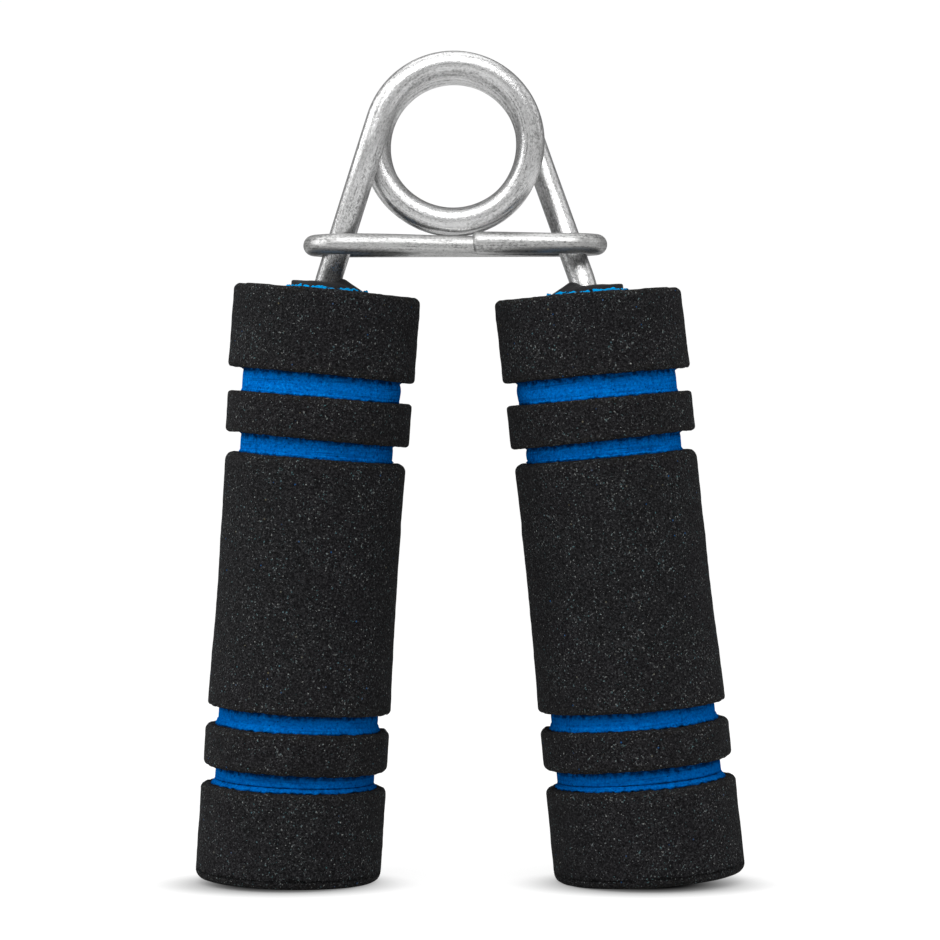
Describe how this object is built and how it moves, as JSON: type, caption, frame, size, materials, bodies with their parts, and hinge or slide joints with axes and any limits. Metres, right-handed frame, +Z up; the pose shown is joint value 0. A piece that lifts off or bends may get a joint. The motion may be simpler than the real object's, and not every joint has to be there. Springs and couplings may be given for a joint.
{
  "type": "hand grip strengthener",
  "caption": "Squeeze trainer with two ribbed foam handles on the legs of a coiled wire spring, held by a wire loop.",
  "frame": {"origin": "centre of the bounding box's base, on the surface that the two handles stand on", "axes": "+X from the left handle to the right handle, +Y to the back along the coil's axis, +Z up from the handles to the coil"},
  "size_m": [0.0908, 0.0316, 0.1364],
  "materials": {
    "spring_steel": "satin",
    "link_steel": "satin",
    "black_foam": "matte",
    "blue_foam": "matte",
    "core_plastic": "satin",
    "plug_plastic": "satin"
  },
  "bodies": {
    "coil": {"spring_coil": "spring_steel"},
    "link": {"retaining_link": "link_steel"},
    "left_handle": {"spring_leg_left": "spring_steel", "left_core_tube": "core_plastic", "left_top_plug": "plug_plastic", "left_bottom_plug": "plug_plastic", "left_blue_sleeve": "blue_foam", "left_top_band": "black_foam", "left_upper_ring": "black_foam", "left_long_band": "black_foam", "left_lower_ring": "black_foam", "left_bottom_band": "black_foam"},
    "right_handle": {"spring_leg_right": "spring_steel", "right_core_tube": "core_plastic", "right_top_plug": "plug_plastic", "right_bottom_plug": "plug_plastic", "right_blue_sleeve": "blue_foam", "right_top_band": "black_foam", "right_upper_ring": "black_foam", "right_long_band": "black_foam", "right_lower_ring": "black_foam", "right_bottom_band": "black_foam"}
  },
  "joints": [
    {"name": "left_squeeze", "type": "hinge", "parent": "coil", "child": "left_handle", "pos_m": [-0.00258, 0, 0.1216], "axis": [0, -1, 0], "range_deg": [0, 6.6], "stiffness_Nm_per_rad": 22, "springref_deg": -4.98},
    {"name": "right_squeeze", "type": "hinge", "parent": "coil", "child": "right_handle", "pos_m": [-0.00258, 0, 0.1216], "axis": [0, 1, 0], "range_deg": [0, 6.6], "stiffness_Nm_per_rad": 22, "springref_deg": -4.98},
    {"name": "link_drop", "type": "slide", "parent": "coil", "child": "link", "axis": [0, 0, -1], "range_m": [0, 0.0039]}
  ],
  "couplings": [
    {"joint": "right_squeeze", "follows": "left_squeeze", "ratio": 1},
    {"joint": "link_drop", "follows": "left_squeeze", "m_per_rad": 0.0335}
  ]
}
